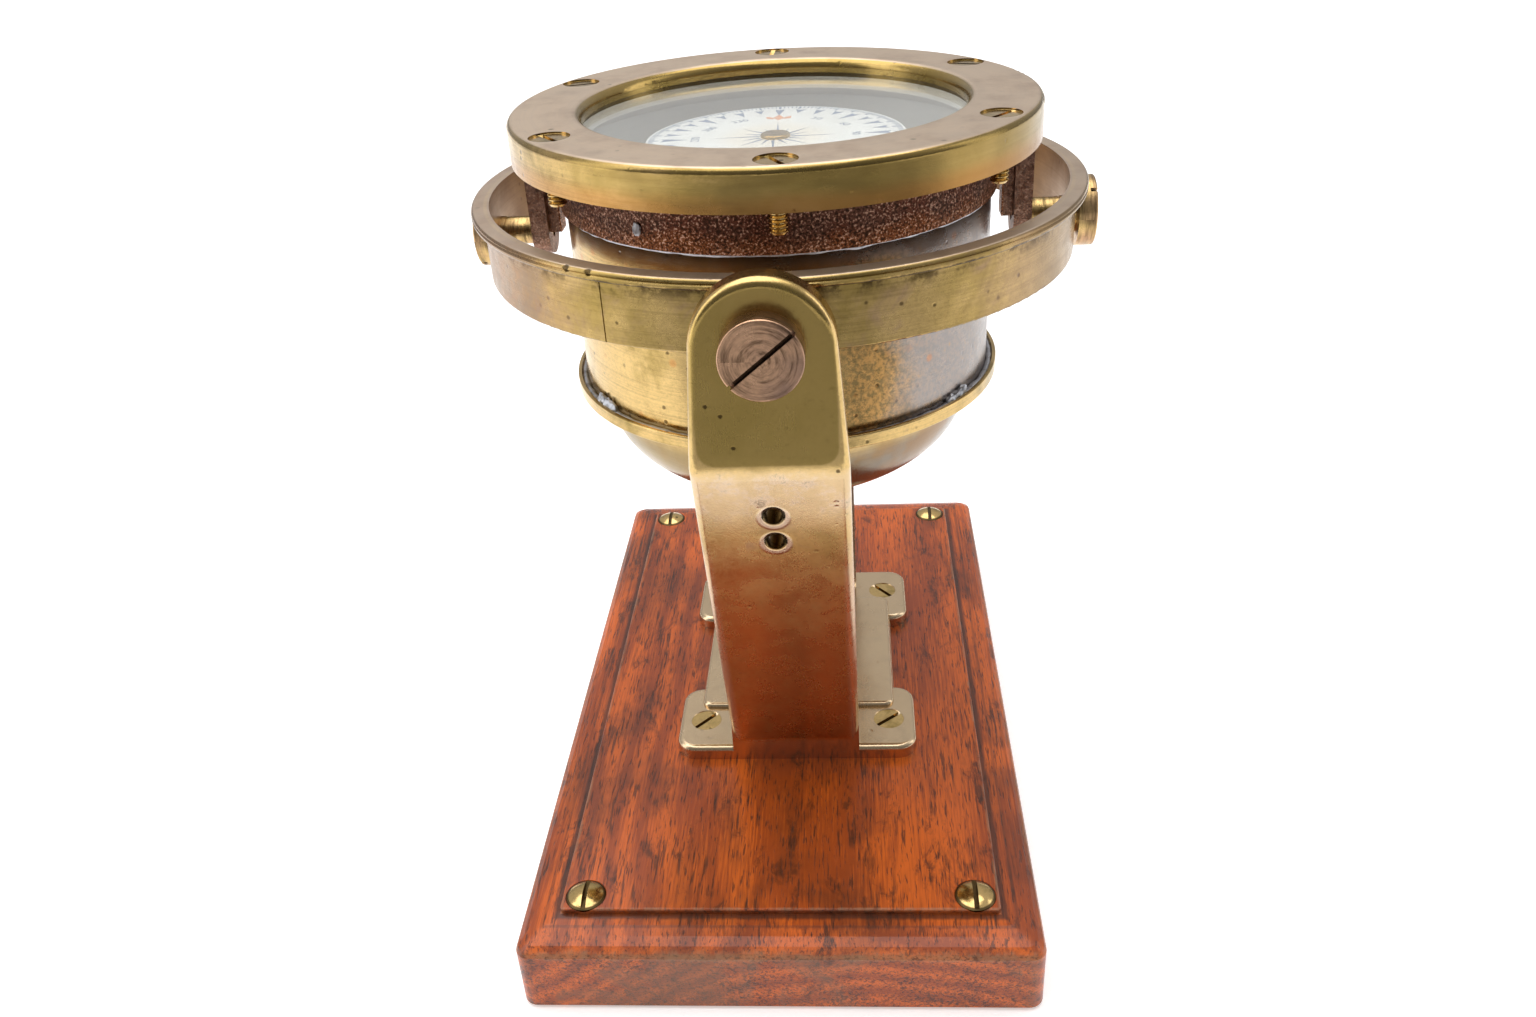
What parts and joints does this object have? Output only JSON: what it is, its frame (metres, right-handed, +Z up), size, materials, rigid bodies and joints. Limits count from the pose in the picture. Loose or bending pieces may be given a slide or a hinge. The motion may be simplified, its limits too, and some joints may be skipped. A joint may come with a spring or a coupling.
{
  "type": "binnacle compass",
  "caption": "Liquid-filled magnetic compass in a brass bowl, hung level in a gimbal ring on a forked brass bracket, screwed to a moulded wooden board.",
  "frame": {"origin": "centre of the underside of the wooden board, on the surface it stands on", "axes": "+Z up; +Y along the board's length, from the arm with the two lamp holes (front) to the rear arm; +X to the right"},
  "size_m": [0.1692, 0.233, 0.2095],
  "materials": {
    "varnished_wood": "varnished mahogany",
    "cast_brass": "tarnished satin",
    "bright_brass": "polished",
    "rose_brass": "turned satin",
    "ring_brass": "tarnished satin",
    "bezel_brass": "brushed",
    "bowl_brass": "polished",
    "cast_bronze": "sand cast",
    "solder": "dull",
    "glass": "clear",
    "rubber": "matte",
    "steel": "bright",
    "lead": "dull",
    "leather": "worn",
    "enamel_card": "enamelled white",
    "float_metal": "satin",
    "sapphire": "polished",
    "magnet_steel": "blued"
  },
  "bodies": {
    "stand": {"base_board": "varnished_wood", "base_corner_screws": "bright_brass", "fork_casting": "cast_brass", "foot_plate_screws": "bright_brass", "front_pivot_screw": "rose_brass", "rear_pivot_screw": "rose_brass", "front_spacer": "bright_brass", "rear_spacer": "bright_brass"},
    "gimbal": {"gimbal_ring": "ring_brass", "left_pivot_screw": "rose_brass", "right_pivot_screw": "rose_brass", "left_pivot_washer": "bright_brass", "right_pivot_washer": "bright_brass"},
    "bowl": {"rim_casting": "cast_bronze", "bowl_tube": "bowl_brass", "bowl_bottom": "bowl_brass", "solder_tabs": "solder", "bezel_ring": "bezel_brass", "bezel_screws": "bright_brass", "cover_glass": "glass", "glass_gasket": "rubber", "lubber_line": "bright_brass", "expansion_diaphragm": "ring_brass", "diaphragm_clamp": "ring_brass", "pivot_bridge": "ring_brass", "pivot_post": "bright_brass", "pivot_needle": "steel", "ballast_weight": "lead", "filler_boss": "cast_brass", "filler_washer": "leather", "filler_plug": "bright_brass"},
    "card": {"compass_card": "enamel_card", "card_float": "float_metal", "float_base": "float_metal", "jewel_cup": "bright_brass", "jewel": "sapphire", "card_magnets": "magnet_steel"}
  },
  "joints": [
    {"name": "gimbal_roll", "type": "hinge", "parent": "stand", "child": "gimbal", "pos_m": [0.0032, 0.0031, 0.176], "axis": [0, 1, 0], "continuous": true},
    {"name": "bowl_pitch", "type": "hinge", "parent": "gimbal", "child": "bowl", "pos_m": [0.0032, 0.0031, 0.176], "axis": [1, 0, 0], "continuous": true},
    {"name": "card_turn", "type": "hinge", "parent": "bowl", "child": "card", "pos_m": [0.0032, 0.0031, 0.176], "axis": [0, 0, 1], "continuous": true}
  ]
}
